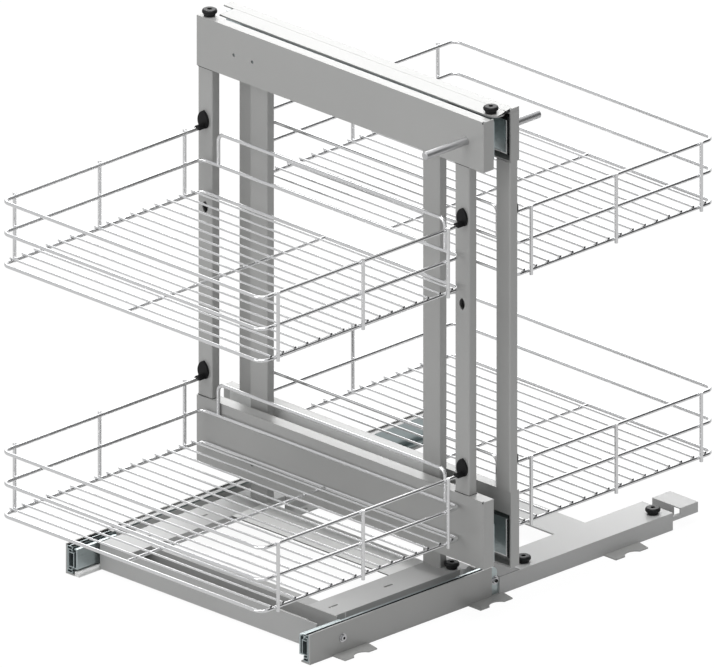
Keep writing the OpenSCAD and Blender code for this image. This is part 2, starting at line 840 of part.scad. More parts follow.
place() {
  side_plate(1);  // side_plate_front
  side_plate(-1);  // side_plate_back
  base_channel(1);  // base_channel_front
  base_channel(-1);  // base_channel_back
  base_cross_plate();
  end_bracket();
  floor_tabs();
  splice_plate();
  base_slide_outer(1);  // base_slide_outer_front
  base_slide_outer(-1);  // base_slide_outer_back
  base_screws();
  base_buffers();
  base_slide_middle(1);  // base_slide_middle_front
  base_slide_middle(-1);  // base_slide_middle_back
  base_slide_balls();
  base_slide_inner(1);  // base_slide_inner_front
  base_slide_inner(-1);  // base_slide_inner_back
  carriage_strip(1);  // carriage_strip_front
  carriage_strip(-1);  // carriage_strip_back
  carriage_cross();
  centre_upright(post_front);  // centre_upright_front
  centre_upright(post_back);  // centre_upright_back
  centre_top_rail();
  centre_low_rail();
  centre_top_plate();
  carriage_buffers();
  frame_slide_outer(-1, top_slide_z);  // left_top_slide_outer
  frame_slide_outer(-1, low_slide_z);  // left_low_slide_outer
  frame_slide_outer(1, top_slide_z);  // right_top_slide_outer
  frame_slide_outer(1, low_slide_z);  // right_low_slide_outer
  frame_slide_middle(-1, top_slide_z);  // left_top_slide_middle
  frame_slide_middle(-1, low_slide_z);  // left_low_slide_middle
  frame_slide_balls(-1);  // left_slide_balls
  frame_slide_middle(1, top_slide_z);  // right_top_slide_middle
  frame_slide_middle(1, low_slide_z);  // right_low_slide_middle
  frame_slide_balls(1);  // right_slide_balls
  top_beam(-1);  // left_top_beam
  low_beam(-1, left_low_h);  // left_low_beam
  frame_upright(-1, upright_in_x);  // left_upright_front
  frame_upright(-1, -upright_out_x);  // left_upright_back
  frame_slide_inner(-1, top_slide_z);  // left_top_slide_inner
  frame_slide_inner(-1, low_slide_z);  // left_low_slide_inner
  door_pin(-1);  // left_pin
  basket(-1, rims(-1)[0]);  // left_upper_basket
  basket(-1, rims(-1)[1]);  // left_lower_basket
  basket_floors(-1);  // left_basket_floors
  clips(-1);  // left_clips
  left_buffer();
  top_beam(1);  // right_top_beam
  low_beam(1, right_low_h);  // right_low_beam
  frame_upright(1, upright_out_x);  // right_upright_front
  frame_upright(1, -upright_in_x);  // right_upright_back
  frame_slide_inner(1, top_slide_z);  // right_top_slide_inner
  frame_slide_inner(1, low_slide_z);  // right_low_slide_inner
  door_pin(1);  // right_pin
  basket(1, rims(1)[0]);  // right_upper_basket
  basket(1, rims(1)[1]);  // right_lower_basket
  basket_floors(1);  // right_basket_floors
  clips(1);  // right_clips
}
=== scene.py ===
import math

import bmesh
import bpy
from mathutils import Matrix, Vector


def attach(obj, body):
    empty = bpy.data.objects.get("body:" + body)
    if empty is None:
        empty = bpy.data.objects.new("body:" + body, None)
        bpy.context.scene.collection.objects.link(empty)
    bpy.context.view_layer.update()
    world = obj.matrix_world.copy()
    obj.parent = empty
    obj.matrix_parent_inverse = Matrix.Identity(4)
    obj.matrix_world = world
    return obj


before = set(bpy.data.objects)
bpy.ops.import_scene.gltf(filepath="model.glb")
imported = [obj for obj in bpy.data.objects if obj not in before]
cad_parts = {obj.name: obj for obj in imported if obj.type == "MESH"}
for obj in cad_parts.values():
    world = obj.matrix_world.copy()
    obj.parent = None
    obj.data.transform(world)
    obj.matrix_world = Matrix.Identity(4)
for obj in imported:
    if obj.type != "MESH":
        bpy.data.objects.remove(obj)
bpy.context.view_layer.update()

# Camera: a parallel view from the front right, a little from above, as in the photograph. Lengths
# are in metres, and one metre at the unit takes the same number of pixels all over the picture.
scene = bpy.context.scene
scene.view_settings.view_transform = "Standard"

PICTURE_WIDTH = 714
PIXELS_PER_METRE = 833.3
CAMERA_AWAY = 20.0
AZIMUTH = math.radians(45.22)
ELEVATION = math.radians(22.0)
AIM = Vector((-0.0008, -0.0074, 0.2962))

back = Vector((
    math.sin(AZIMUTH) * math.cos(ELEVATION),
    -math.cos(AZIMUTH) * math.cos(ELEVATION),
    math.sin(ELEVATION),
))
camera_data = bpy.data.cameras.new("camera")
camera_data.type = "ORTHO"
camera_data.ortho_scale = PICTURE_WIDTH / PIXELS_PER_METRE
camera_data.clip_start = 1.0
camera_data.clip_end = 200.0
camera = bpy.data.objects.new("camera", camera_data)
scene.collection.objects.link(camera)
camera.location = AIM + back * CAMERA_AWAY
camera.rotation_mode = "QUATERNION"
camera.rotation_quaternion = (-back).to_track_quat("-Z", "Y")
scene.camera = camera

# Lamps: three square softboxes. One hangs over the unit, one stands at its left, and the tops of
# the sheets mirror the one behind it.
LAMP_TARGET = Vector((0, 0, 0.3))


def soft_lamp(name, place, width, watts):
    """A square softbox that looks at the middle of the unit."""
    lamp = bpy.data.lights.new(name, "AREA")
    lamp.shape = "SQUARE"
    lamp.size = width
    lamp.energy = watts
    holder = bpy.data.objects.new(name, lamp)
    scene.collection.objects.link(holder)
    holder.location = place
    holder.rotation_mode = "QUATERNION"
    holder.rotation_quaternion = (LAMP_TARGET - Vector(place)).to_track_quat("-Z", "Y")


soft_lamp("lamp_top", (0.3, -0.3, 6.0), 3.0, 245)
soft_lamp("lamp_left", (-1.5, -6.5, 3.5), 5.5, 165)
soft_lamp("lamp_behind", (-3.9, 3.9, 2.6), 3.0, 90)

# Surround: plain white to the camera, and a little cooler and dimmer to what it lights and to what
# mirrors it, so that plated wire and zinc keep their contrast.
surround = bpy.data.worlds.new("surround")
scene.world = surround
surround.use_nodes = True
nodes, links = surround.node_tree.nodes, surround.node_tree.links
nodes.clear()
out = nodes.new("ShaderNodeOutputWorld")
path = nodes.new("ShaderNodeLightPath")
glow = nodes.new("ShaderNodeBackground")
glow.inputs["Color"].default_value = (0.98, 0.99, 1.0, 1)
glow.inputs["Strength"].default_value = 0.39
wall = nodes.new("ShaderNodeBackground")
wall.inputs["Color"].default_value = (0.98, 0.99, 1.0, 1)
wall.inputs["Strength"].default_value = 0.70
white = nodes.new("ShaderNodeBackground")
white.inputs["Color"].default_value = (1, 1, 1, 1)
white.inputs["Strength"].default_value = 1.0
mirrored = nodes.new("ShaderNodeMixShader")
seen = nodes.new("ShaderNodeMixShader")
links.new(path.outputs["Is Glossy Ray"], mirrored.inputs["Fac"])
links.new(glow.outputs["Background"], mirrored.inputs[1])
links.new(wall.outputs["Background"], mirrored.inputs[2])
links.new(path.outputs["Is Camera Ray"], seen.inputs["Fac"])
links.new(mirrored.outputs["Shader"], seen.inputs[1])
links.new(white.outputs["Background"], seen.inputs[2])
links.new(seen.outputs["Shader"], out.inputs["Surface"])

# Floor: white paper that keeps a soft shadow. The camera sees most of its own light, mirrors see
# half of a dimmer one, and everything else sees it as dull paper.
FLOOR_HALF = 6.0
FLOOR_DROP = 0.0005
floor_mesh = bpy.data.meshes.new("floor")
floor_mesh.from_pydata(
    [(-FLOOR_HALF, -FLOOR_HALF, -FLOOR_DROP), (FLOOR_HALF, -FLOOR_HALF, -FLOOR_DROP),
     (FLOOR_HALF, FLOOR_HALF, -FLOOR_DROP), (-FLOOR_HALF, FLOOR_HALF, -FLOOR_DROP)],
    [], [(0, 1, 2, 3)])
floor = bpy.data.objects.new("floor", floor_mesh)
scene.collection.objects.link(floor)
floor_paper = bpy.data.materials.new("floor_paper")
floor_paper.use_nodes = True
nodes, links = floor_paper.node_tree.nodes, floor_paper.node_tree.links
nodes.clear()
out = nodes.new("ShaderNodeOutputMaterial")
path = nodes.new("ShaderNodeLightPath")
dull = nodes.new("ShaderNodeBsdfDiffuse")
dull.inputs["Color"].default_value = (0.62, 0.62, 0.62, 1)
soft = nodes.new("ShaderNodeEmission")
soft.inputs["Strength"].default_value = 0.7
lit = nodes.new("ShaderNodeEmission")
lit.inputs["Strength"].default_value = 1.06
half = nodes.new("ShaderNodeMath")
half.operation = "MULTIPLY"
half.inputs[1].default_value = 0.5
most = nodes.new("ShaderNodeMath")
most.operation = "MULTIPLY"
most.inputs[1].default_value = 0.9
mirrored = nodes.new("ShaderNodeMixShader")
seen = nodes.new("ShaderNodeMixShader")
links.new(path.outputs["Is Glossy Ray"], half.inputs[0])
links.new(half.outputs["Value"], mirrored.inputs["Fac"])
links.new(dull.outputs["BSDF"], mirrored.inputs[1])
links.new(soft.outputs["Emission"], mirrored.inputs[2])
links.new(path.outputs["Is Camera Ray"], most.inputs[0])
links.new(most.outputs["Value"], seen.inputs["Fac"])
links.new(mirrored.outputs["Shader"], seen.inputs[1])
links.new(lit.outputs["Emission"], seen.inputs[2])
links.new(seen.outputs["Shader"], out.inputs["Surface"])
floor_mesh.materials.append(floor_paper)

# Black flag to the right of the unit. Only reflections see it: it draws the dark line along the
# plated wires that run across the cabinet.
FLAG_AWAY, FLAG_WIDE, FLAG_LOW, FLAG_HIGH = 2.4, 2.2, 0.1, 2.4
FLAG_TURN = 0.707
flag_mesh = bpy.data.meshes.new("black_flag")
flag_mesh.from_pydata(
    [((FLAG_AWAY + side * FLAG_WIDE / 2) * FLAG_TURN, (FLAG_AWAY - side * FLAG_WIDE / 2) * FLAG_TURN, z)
     for side, z in ((-1, FLAG_LOW), (1, FLAG_LOW), (1, FLAG_HIGH), (-1, FLAG_HIGH))],
    [], [(0, 1, 2, 3)])
flag = bpy.data.objects.new("black_flag", flag_mesh)
scene.collection.objects.link(flag)
flag.visible_camera = False
flag.visible_diffuse = False
flag.visible_shadow = False
flag_cloth = bpy.data.materials.new("flag_cloth")
flag_cloth.use_nodes = True
cloth = flag_cloth.node_tree.nodes["Principled BSDF"]
cloth.inputs["Base Color"].default_value = (0.01, 0.01, 0.01, 1)
cloth.inputs["Roughness"].default_value = 0.9
flag_mesh.materials.append(flag_cloth)


# Side plates and floor tabs: steel sheet, folded and coated with a grey metallic powder. The coat
# has a very fine orange-peel skin, and the folds are softly rounded.
def speckle_group():
    """Small uneven skin of a coat or a rolled sheet: a height, and a value round one half."""
    group = bpy.data.node_groups.new("fine_skin", "ShaderNodeTree")
    face = group.interface
    face.new_socket("Scale", in_out="INPUT", socket_type="NodeSocketFloat").default_value = 900
    face.new_socket("Stretch", in_out="INPUT", socket_type="NodeSocketVector").default_value = (1, 1, 1)
    face.new_socket("Height", in_out="OUTPUT", socket_type="NodeSocketFloat")
    face.new_socket("Cloud", in_out="OUTPUT", socket_type="NodeSocketFloat")
    nodes, links = group.nodes, group.links
    given = nodes.new("NodeGroupInput")
    result = nodes.new("NodeGroupOutput")
    place = nodes.new("ShaderNodeTexCoord")
    stretch = nodes.new("ShaderNodeVectorMath")
    stretch.operation = "MULTIPLY"
    grain = nodes.new("ShaderNodeTexNoise")
    grain.inputs["Detail"].default_value = 3
    cloud = nodes.new("ShaderNodeTexNoise")
    cloud.inputs["Scale"].default_value = 9
    cloud.inputs["Detail"].default_value = 4
    links.new(place.outputs["Object"], stretch.inputs[0])
    links.new(given.outputs["Stretch"], stretch.inputs[1])
    links.new(stretch.outputs["Vector"], grain.inputs["Vector"])
    links.new(given.outputs["Scale"], grain.inputs["Scale"])
    links.new(place.outputs["Object"], cloud.inputs["Vector"])
    links.new(grain.outputs["Fac"], result.inputs["Height"])
    links.new(cloud.outputs["Fac"], result.inputs["Cloud"])
    return group


FINE_SKIN = speckle_group()


def finish_material(name, dark, light, metallic, rough, rough_spread=0.06, scale=900,
                    stretch=(1, 1, 1), bump=0.02, shine=0.5):
    """A coat or a bare metal whose colour and gloss drift a little over the surface."""
    made = bpy.data.materials.new(name)
    made.use_nodes = True
    nodes, links = made.node_tree.nodes, made.node_tree.links
    shader = nodes["Principled BSDF"]
    shader.inputs["Metallic"].default_value = metallic
    shader.inputs["Specular IOR Level"].default_value = shine
    skin = nodes.new("ShaderNodeGroup")
    skin.node_tree = FINE_SKIN
    skin.inputs["Scale"].default_value = scale
    skin.inputs["Stretch"].default_value = stretch
    tint = nodes.new("ShaderNodeMix")
    tint.data_type = "RGBA"
    tint.inputs[6].default_value = (*dark, 1)
    tint.inputs[7].default_value = (*light, 1)
    blend = nodes.new("ShaderNodeMath")
    blend.operation = "MULTIPLY_ADD"
    blend.inputs[1].default_value = 0.5
    half = nodes.new("ShaderNodeMath")
    half.operation = "MULTIPLY"
    half.inputs[1].default_value = 0.5
    links.new(skin.outputs["Height"], half.inputs[0])
    links.new(skin.outputs["Cloud"], blend.inputs[0])
    links.new(half.outputs["Value"], blend.inputs[2])
    links.new(blend.outputs["Value"], tint.inputs[0])
    links.new(tint.outputs[2], shader.inputs["Base Color"])
    gloss = nodes.new("ShaderNodeMapRange")
    gloss.inputs["To Min"].default_value = rough - rough_spread
    gloss.inputs["To Max"].default_value = rough + rough_spread
    links.new(skin.outputs["Height"], gloss.inputs["Value"])
    links.new(gloss.outputs["Result"], shader.inputs["Roughness"])
    raised = nodes.new("ShaderNodeBump")
    raised.inputs["Strength"].default_value = 0.5
    raised.inputs["Distance"].default_value = bump / 1000
    links.new(skin.outputs["Height"], raised.inputs["Height"])
    links.new(raised.outputs["Normal"], shader.inputs["Normal"])
    return made


def dress(material, names, edge=0.0):
    """Gives CAD nodes their material, and rounds the sharp edges of folded sheet."""
    for name in names:
        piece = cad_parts[name]
        if not piece.material_slots:
            piece.data.materials.append(material)
        for holder in piece.material_slots:
            holder.material = material
        if edge:
            fold = piece.modifiers.new("folds", "BEVEL")
            fold.width = edge
            fold.segments = 2
            fold.limit_method = "ANGLE"
            fold.angle_limit = math.radians(40)
            fold.harden_normals = False


GREY_PAINT = finish_material(
    "grey_paint", (0.40, 0.40, 0.392), (0.45, 0.45, 0.442), 0.25, 0.38)
SHEET_FOLD = 0.0004
dress(GREY_PAINT, ["side_plate_front", "side_plate_back", "floor_tabs"], SHEET_FOLD)

# Base channels, cross plate and end bracket: the same steel sheet and grey coat, duller here. Their
# paler colour is painted light, so that their tops come out as bright as lit. They are folded from
# flat blanks and screwed to the cabinet floor.
GREY_WITH_PAINTED_LIGHT = finish_material(
    "pale_paint", (0.51, 0.51, 0.505), (0.57, 0.57, 0.565), 0.1, 0.50)
dress(GREY_WITH_PAINTED_LIGHT, ["base_channel_front", "base_channel_back", "base_cross_plate",
                   "end_bracket"], SHEET_FOLD)

# Base slides: three roll-formed steel members each, with blue-green zinc. The plate that joins the
# front side plate to its channel has the same zinc.
ZINC_SLIDE = finish_material(
    "zinc_slide", (0.36, 0.42, 0.43), (0.60, 0.66, 0.66), 0.85, 0.30, scale=320,
    stretch=(0.15, 0.15, 1), bump=0.01)
dress(ZINC_SLIDE, [f"base_slide_{part}_{place}" for part in ("outer", "middle", "inner")
                   for place in ("front", "back")])
dress(ZINC_SLIDE, ["splice_plate"])

# Balls and base screws: bright turned steel. The balls sit in cages between the slide members, and
# the screws' hexagon heads are on the outer faces of the rails.
BRIGHT_STEEL = finish_material(
    "bright_steel", (0.50, 0.50, 0.51), (0.66, 0.66, 0.67), 1.0, 0.2, bump=0.004)
dress(BRIGHT_STEEL, ["base_slide_balls", "left_slide_balls", "right_slide_balls",
                     "base_screws"])


# Screw sockets: the hexagon pressed into the head of each base screw. It is seen only as a dark
# hole, so a thin black plate with six corners stands for it as painted shade.
def extrusion(name, outline, axis, low, high, material, body, edge=0.0002):
    """A sheet-metal strip with a constant outline along X, Y or Z, its edges softly rounded."""
    turn = {"x": lambda a, b, t: (t, a, b), "y": lambda a, b, t: (a, t, b),
            "z": lambda a, b, t: (a, b, t)}[axis]
    shape = bmesh.new()
    ends = [[shape.verts.new(turn(a, b, t)) for a, b in outline] for t in (low, high)]
    count = len(outline)
    for i in range(count):
        j = (i + 1) % count
        shape.faces.new((ends[0][i], ends[0][j], ends[1][j], ends[1][i]))
    shape.faces.new(ends[0][::-1])
    shape.faces.new(ends[1])
    bmesh.ops.recalc_face_normals(shape, faces=shape.faces)
    mesh = bpy.data.meshes.new(name)
    shape.to_mesh(mesh)
    shape.free()
    piece = bpy.data.objects.new(name, mesh)
    scene.collection.objects.link(piece)
    mesh.materials.append(material)
    if edge:
        soft = piece.modifiers.new("edges", "BEVEL")
        soft.width = edge
        soft.segments = 2
        soft.limit_method = "ANGLE"
    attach(piece, body)


def round_outline(a, b, radius, corners):
    """The corners of a regular outline round a middle point."""
    turns = [math.radians(360 / corners * i) for i in range(corners)]
    return [(a + radius * math.cos(turn), b + radius * math.sin(turn)) for turn in turns]


# Black for gaps, holes and slots that show only shade: painted shade.
GAP_SHADE = finish_material(
    "painted_gap_shade", (0.006, 0.006, 0.006), (0.010, 0.010, 0.010), 0.0, 0.85, shine=0.08)
SOCKET_R, SOCKET_Z, SOCKET_THICK = 0.0021, 0.0200, 0.0009
SOCKET_LEFT, SOCKET_RIGHT = -0.2231, 0.0359
FRONT_HEAD, BACK_HEAD = 0.1934, -0.2254
for side, x, out_x in (("front", FRONT_HEAD, FRONT_HEAD + SOCKET_THICK),
                       ("back", BACK_HEAD, BACK_HEAD - SOCKET_THICK)):
    for place, y in (("left", SOCKET_LEFT), ("right", SOCKET_RIGHT)):
        extrusion(f"socket_{side}_{place}", round_outline(y, SOCKET_Z, SOCKET_R, 6),
                  "x", x, out_x, GAP_SHADE, "base", 0)


# Rail joint: the grey foot between the front side plate and its channel, beside the splice plate,
# and a thin dark sheet on the channel's top next to it, which is painted shadow of the right low
# beam over it. The foot is flat steel.
def bar(a_low, a_high, b_low, b_high):
    """The outline of a flat bar or sheet, seen end on."""
    return [(a_low, b_low), (a_high, b_low), (a_high, b_high), (a_low, b_high)]


# Dark grey that stands for shadow and shade: painted shade.
PAINTED_SHADE_GREY = finish_material(
    "painted_shade_grey", (0.15, 0.15, 0.148), (0.19, 0.19, 0.188), 0.2, 0.55)
JOINT_LEFT, JOINT_MIDDLE, JOINT_RIGHT = 0.0290, 0.0428, 0.0770
FOOT_BACK, FOOT_FRONT, FOOT_LOW, FOOT_TOP = 0.1771, 0.1919, 0.0001, 0.0024
SHADOW_BACK, SHADOW_FRONT, SHADOW_LOW, SHADOW_TOP = 0.1500, 0.1917, 0.0225, 0.0231
extrusion("joint_foot", bar(FOOT_BACK, FOOT_FRONT, FOOT_LOW, FOOT_TOP),
          "y", JOINT_LEFT, JOINT_MIDDLE, GREY_PAINT, "base", 0.0003)
extrusion("frame_shadow_on_channel", bar(SHADOW_BACK, SHADOW_FRONT, SHADOW_LOW, SHADOW_TOP),
          "y", JOINT_MIDDLE, JOINT_RIGHT, PAINTED_SHADE_GREY, "base", 0.0001)

# Slide gap shade: thin strips on top of the base slides are painted shade of the gaps between the
# slide members. They are black in the front slide and at the left end of the back one, and dark grey
# over the rest of the back slide, where a sheet in the paler, painted-light grey covers the other gap.
BASE_MIDDLE = -0.016
STRIP_LOW, STRIP_TOP = 0.0371, 0.0376
SLIDE_LEFT, BLACK_SHADE_RIGHT, SLIDE_RIGHT, RAIL_RIGHT = -0.2778, -0.210125, 0.0217, 0.3350
for name, side, near, far, left, right, material in (
        ("slide_gap_shade_front", 1, 0.2000, 0.2036, SLIDE_LEFT, SLIDE_RIGHT, GAP_SHADE),
        ("slide_gap_shade_back", -1, 0.2025, 0.2059, SLIDE_LEFT, BLACK_SHADE_RIGHT, GAP_SHADE),
        ("ball_gap_shade_back", -1, 0.1966, 0.2006, SLIDE_LEFT, BLACK_SHADE_RIGHT, GAP_SHADE),
        ("slide_gap_grey_back", -1, 0.2028, 0.2059, BLACK_SHADE_RIGHT, RAIL_RIGHT, PAINTED_SHADE_GREY),
        ("flange_sheet_back", -1, 0.1966, 0.2026, BLACK_SHADE_RIGHT, RAIL_RIGHT, GREY_WITH_PAINTED_LIGHT)):
    extrusion(name, bar(BASE_MIDDLE + side * near, BASE_MIDDLE + side * far, STRIP_LOW, STRIP_TOP),
              "y", left, right, material, "base", 0)

# Foot ledge: a white ledge along the foot of the back rail, beside the carriage, with its upper
# edge towards the carriage rounded. Its white is painted light on the foot, which lies in the
# carriage's shade.
# White that lifts shaded faces and draws lit edges: painted light.
PAINTED_LIGHT_WHITE = finish_material(
    "painted_light_white", (0.84, 0.84, 0.83), (0.88, 0.88, 0.87), 0.0, 0.45, bump=0.01)
LEDGE_LEFT, LEDGE_RIGHT = -0.278025, 0.022375
LEDGE_NEAR, LEDGE_FAR, LEDGE_LOW, LEDGE_TOP = 0.1855, 0.1928, 0.0001, 0.0062
LEDGE_ROUND = ((0, 0.0020), (0.0013, 0.0004), (0.0029, 0))
extrusion(
    "foot_ledge_back",
    [(BASE_MIDDLE - LEDGE_FAR, LEDGE_LOW), (BASE_MIDDLE - LEDGE_NEAR, LEDGE_LOW)]
    + [(BASE_MIDDLE - LEDGE_NEAR - inward, LEDGE_TOP - down) for inward, down in LEDGE_ROUND]
    + [(BASE_MIDDLE - LEDGE_FAR, LEDGE_TOP)],
    "y", LEDGE_LEFT, LEDGE_RIGHT, PAINTED_LIGHT_WHITE, "base", 0.0003)

# Buffers: black rubber barrels, screwed down through their middle. They sit on the base channel,
# on the carriage and on the left top beam.
BLACK_RUBBER = finish_material(
    "black_rubber", (0.006, 0.006, 0.0065), (0.011, 0.011, 0.0115), 0.0, 0.42, bump=0.01,
    shine=0.22)
dress(BLACK_RUBBER, ["base_buffers", "carriage_buffers", "left_buffer"])

# Carriage: two folded strips and a cross trough at the left end, in powder coat. Two box uprights
# stand on it, with zinc rails between them and a grey plate on top.
TROUGH_PAINT = finish_material(
    "trough_paint", (0.43, 0.43, 0.425), (0.48, 0.48, 0.475), 0.1, 0.50)
ZINC_SHEET = finish_material(
    "zinc_sheet", (0.42, 0.43, 0.43), (0.56, 0.57, 0.57), 0.8, 0.36, scale=420,
    stretch=(0.2, 0.2, 1), bump=0.01)
RAIL_FOLD = 0.0003
# The strips take the paler copy of the grey coat: painted light for their lit tops.
dress(GREY_WITH_PAINTED_LIGHT, ["carriage_strip_front", "carriage_strip_back"], SHEET_FOLD)
dress(TROUGH_PAINT, ["carriage_cross"], SHEET_FOLD)
dress(GREY_PAINT, ["centre_top_plate"], SHEET_FOLD)
dress(GREY_PAINT, ["centre_upright_front", "centre_upright_back"])
dress(ZINC_SHEET, ["centre_top_rail", "centre_low_rail"], RAIL_FOLD)

# Slide carriers: zinc C strips on the inner members of the base slides, left of the flat strips.
# They join the slides to the carriage and leave a narrow dark gap over the foot.
SLIDE_FACE = 0.194
CARRIER_LEFT = -0.277625
CARRIER_LOW, CARRIER_HIGH, CARRIER_WEB, CARRIER_LIP = 0.0090, 0.0352, 0.0022, 0.0016
CARRIER_GAP, CARRIER_DEEP = 0.0001, 0.0050
CARRIER_NEAR, CARRIER_FAR = SLIDE_FACE - CARRIER_GAP, SLIDE_FACE - CARRIER_DEEP
CARRIER_INSIDE = CARRIER_FAR + CARRIER_WEB
for side, place in ((1, "front"), (-1, "back")):
    extrusion(
        f"slide_carrier_{place}",
        [(BASE_MIDDLE + side * r, z) for r, z in (
            (CARRIER_NEAR, CARRIER_LOW), (CARRIER_FAR, CARRIER_LOW),
            (CARRIER_FAR, CARRIER_HIGH), (CARRIER_NEAR, CARRIER_HIGH),
            (CARRIER_NEAR, CARRIER_HIGH - CARRIER_LIP), (CARRIER_INSIDE, CARRIER_HIGH - CARRIER_LIP),
            (CARRIER_INSIDE, CARRIER_LOW + CARRIER_LIP), (CARRIER_NEAR, CARRIER_LOW + CARRIER_LIP))],
        "y", CARRIER_LEFT, BLACK_SHADE_RIGHT, ZINC_SLIDE, "carriage", 0.0003)

# Groove sheet: lines the groove between the back strip and its slide. It is thin steel, folded up
# at the slide, in the paler copy of the grey coat, whose paleness is painted light.
GROOVE_LEFT, GROOVE_RIGHT = -0.207425, 0.019175
GROOVE_NEAR, GROOVE_WALL, GROOVE_FAR = 0.1811, 0.1934, 0.1939
GROOVE_LOW, GROOVE_FLOOR, GROOVE_TOP = 0.0240, 0.0252, 0.0364
extrusion(
    "groove_sheet_back",
    [(BASE_MIDDLE - r, z) for r, z in (
        (GROOVE_NEAR, GROOVE_FLOOR), (GROOVE_WALL, GROOVE_FLOOR), (GROOVE_WALL, GROOVE_TOP),
        (GROOVE_FAR, GROOVE_TOP), (GROOVE_FAR, GROOVE_LOW), (GROOVE_NEAR, GROOVE_LOW))],
    "y", GROOVE_LEFT, GROOVE_RIGHT, GREY_WITH_PAINTED_LIGHT, "carriage", 0.0001)

# Strip tongue: the pale strip at the back runs on over the trough to its outer edge, where it is
# folded down. It is part of the strip's own sheet.
TONGUE_LEFT, TONGUE_RIGHT = -0.2434, -0.2074
TONGUE_BACK, TONGUE_BEND, TONGUE_FRONT = -0.1995, -0.1490, -0.1482
TONGUE_LIP, TONGUE_LOW, TONGUE_TOP = 0.0290, 0.0364, 0.0373
# The tongue takes the paler copy of the grey coat too: painted light.
extrusion(
    "strip_tongue_back",
    [(TONGUE_BACK, TONGUE_LOW), (TONGUE_BEND, TONGUE_LOW), (TONGUE_BEND, TONGUE_LIP),
     (TONGUE_FRONT, TONGUE_LIP), (TONGUE_FRONT, TONGUE_TOP), (TONGUE_BACK, TONGUE_TOP)],
    "y", TONGUE_LEFT, TONGUE_RIGHT, GREY_WITH_PAINTED_LIGHT, "carriage")

# Carriage sheet: a flat sheet between the two strips, left of the uprights, with a folded edge and a
# punched slot. Its white is its pale coat made lighter, painted light that lifts the beams' shadow;
# the black of the folded edge and of the slot is painted shade. It spans from one strip to the other.
PAINTED_LIGHT_SHEET = finish_material(
    "painted_light_sheet", (0.84, 0.84, 0.83), (0.90, 0.90, 0.89), 0.0, 0.6, bump=0.01)
SHEET_BACK, SHEET_FRONT, SHEET_LEFT, SHEET_RIGHT = -0.1498, 0.1178, -0.0700, -0.0098
SHEET_LOW, SHEET_TOP = 0.0353, 0.0365
FOLD_LEFT, FOLD_RIGHT, FOLD_LOW, FOLD_TOP = -0.0702, -0.0690, 0.0345, 0.0356
SLOT_BACK, SLOT_FRONT, SLOT_LEFT, SLOT_RIGHT = -0.1165, -0.1090, -0.0188, -0.0172
SLOT_LOW, SLOT_TOP = 0.0362, 0.03656
extrusion("carriage_sheet", bar(SHEET_BACK, SHEET_FRONT, SHEET_LEFT, SHEET_RIGHT),
          "z", SHEET_LOW, SHEET_TOP, PAINTED_LIGHT_SHEET, "carriage")
extrusion(
    "carriage_sheet_edge_shade",
    [(FOLD_LEFT, FOLD_LOW), (FOLD_RIGHT, FOLD_LOW), (FOLD_RIGHT, SHEET_LOW), (SHEET_LEFT, SHEET_LOW),
     (FOLD_LEFT, FOLD_TOP)],
    "x", SHEET_BACK, SHEET_FRONT, GAP_SHADE, "carriage", 0)
extrusion("carriage_sheet_slot_shade", bar(SLOT_BACK, SLOT_FRONT, SLOT_LEFT, SLOT_RIGHT),
          "z", SLOT_LOW, SLOT_TOP, GAP_SHADE, "carriage", 0)

# Trough wall light: a thin white sheet flat against the inner face of the trough's right wall. Its
# white is painted light that lifts the shade on that wall. How the real one is fixed can't be
# seen.
TROUGH_LIGHT_BACK, TROUGH_LIGHT_FRONT, TROUGH_LIGHT_LEFT, TROUGH_LIGHT_RIGHT = -0.1400, 0.1660, -0.1925, -0.1917
TROUGH_LIGHT_LOW, TROUGH_LIGHT_TOP = 0.0060, 0.0362
extrusion("trough_wall_light", bar(TROUGH_LIGHT_LEFT, TROUGH_LIGHT_RIGHT, TROUGH_LIGHT_LOW, TROUGH_LIGHT_TOP),
          "x", TROUGH_LIGHT_BACK, TROUGH_LIGHT_FRONT, PAINTED_LIGHT_SHEET, "carriage", 0.0001)

# Frame slides: the same kind as the base slides, taller and longer. The outer members are fixed to
# the carriage's rails and the inner ones to the beams of the basket frames.
dress(ZINC_SLIDE, [f"{side}_{row}_slide_{part}" for side in ("left", "right")
                   for row in ("top", "low") for part in ("outer", "middle", "inner")])

# Slide ends: thin white frames round the front ends of the right slides' backs are painted highlight
# on the sheet's edges. The black between them and the end caps, and the black plate inside each cap
# next to the slide, are painted shade of the gaps there.
STOP_Y, STOP_THICK, STOP_RIM, STOP_SIDE = 0.00868, 0.0006, 0.0014, 0.0016
STOP_BACK, STOP_FRONT, SHADE_FRONT = 0.2060, 0.2390, 0.2402
STOP_GAP = 0.0001
TOP_LOW, TOP_HIGH, TOP_SHADE_HIGH = 0.5932, 0.6370, 0.6458
LOW_LOW, LOW_HIGH = 0.0722, 0.1208
for name, low, high in (("slide_edge_highlight_top", TOP_LOW, TOP_HIGH), ("slide_edge_highlight_low", LOW_LOW, LOW_HIGH)):
    extrusion(
        name,
        [(STOP_FRONT, low), (STOP_FRONT, high), (STOP_FRONT - STOP_SIDE, high),
         (STOP_FRONT - STOP_SIDE, low + STOP_RIM), (STOP_BACK, low + STOP_RIM), (STOP_BACK, low)],
        "y", STOP_Y - STOP_THICK, STOP_Y, PAINTED_LIGHT_WHITE, "carriage", 0.0001)
